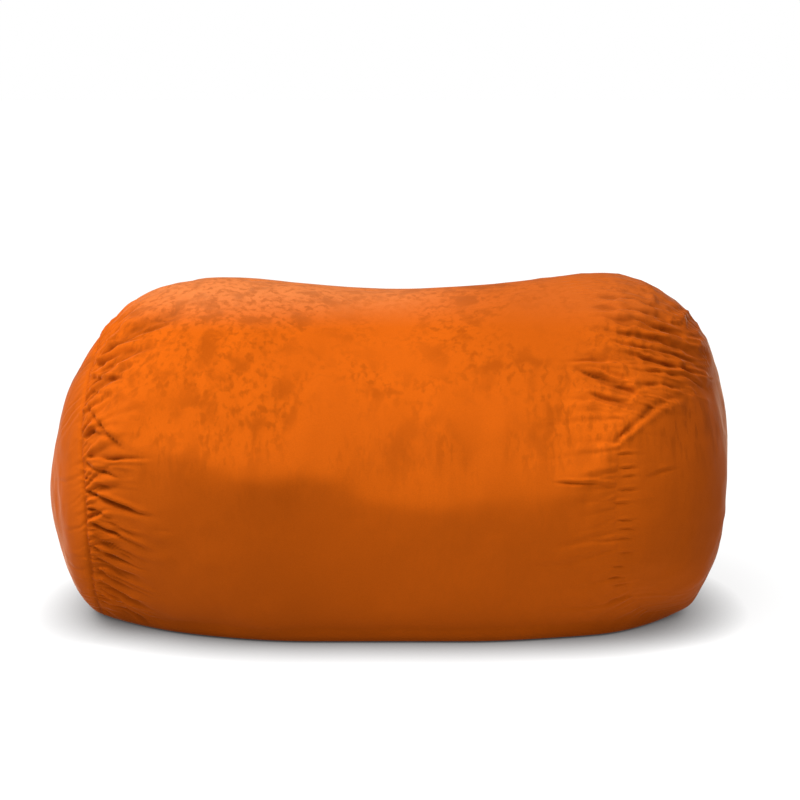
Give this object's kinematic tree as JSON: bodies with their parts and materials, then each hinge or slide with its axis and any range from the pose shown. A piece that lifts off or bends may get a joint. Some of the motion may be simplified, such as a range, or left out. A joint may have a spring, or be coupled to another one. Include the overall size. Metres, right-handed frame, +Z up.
{
  "type": "bean bag chair",
  "caption": "Long foam-filled lounger: a loose zipped cover with gathered end panels over a zipped inner liner.",
  "frame": {"origin": "middle of the underside, on the floor", "axes": "+X along the length towards the right end as seen from the front, -Y towards the front, +Z up"},
  "size_m": [1.83, 1.0668, 0.915],
  "materials": {
    "cover_suede": "brushed microsuede, orange, patchy nap",
    "cover_thread": "spun polyester sewing thread",
    "cover_zip_tape": "woven polyester zipper tape",
    "cover_zip_coil": "nylon coil, satin",
    "zip_metal": "cast zinc, nickel plated",
    "label_satin": "woven satin ribbon, blank",
    "liner_cloth": "plain woven polyester-cotton",
    "liner_thread": "spun polyester sewing thread",
    "liner_zip_tape": "woven polyester zipper tape",
    "liner_zip_coil": "nylon coil, satin",
    "foam": "shredded polyurethane foam"
  },
  "bodies": {
    "bag": {"cover_wrap_panel": "cover_suede", "cover_end_panel_left": "cover_suede", "cover_end_panel_right": "cover_suede", "cover_seam_thread_left": "cover_thread", "cover_seam_thread_right": "cover_thread", "cover_zip_tape_upper": "cover_zip_tape", "cover_zip_tape_lower": "cover_zip_tape", "cover_zip_coil_upper": "cover_zip_coil", "cover_zip_coil_lower": "cover_zip_coil", "cover_zip_stop_left": "zip_metal", "cover_zip_stop_right": "zip_metal", "care_label": "label_satin", "liner_wrap_panel": "liner_cloth", "liner_end_panel_left": "liner_cloth", "liner_end_panel_right": "liner_cloth", "liner_seam_thread_left": "liner_thread", "liner_seam_thread_right": "liner_thread", "liner_zip_tape_upper": "liner_zip_tape", "liner_zip_tape_lower": "liner_zip_tape", "liner_zip_coil_upper": "liner_zip_coil", "liner_zip_coil_lower": "liner_zip_coil", "liner_zip_stop_left": "zip_metal", "liner_zip_stop_right": "zip_metal", "foam_fill": "foam"},
    "cover_slider": {"cover_zip_slider": "zip_metal"},
    "cover_pull_tab": {"cover_zip_pull_tab": "zip_metal"},
    "liner_slider": {"liner_zip_slider": "zip_metal"}
  },
  "joints": [
    {"name": "cover_zip_slide", "type": "slide", "parent": "bag", "child": "cover_slider", "axis": [-1, 0, 0], "range_m": [0, 0.9]},
    {"name": "cover_pull_tab_hinge", "type": "hinge", "parent": "cover_slider", "child": "cover_pull_tab", "pos_m": [0.45, 0.5308, 0.44], "axis": [0, 0, -1], "range_deg": [0, 165]},
    {"name": "liner_zip_slide", "type": "slide", "parent": "bag", "child": "liner_slider", "axis": [-1, 0, 0], "range_m": [0, 0.9]}
  ]
}
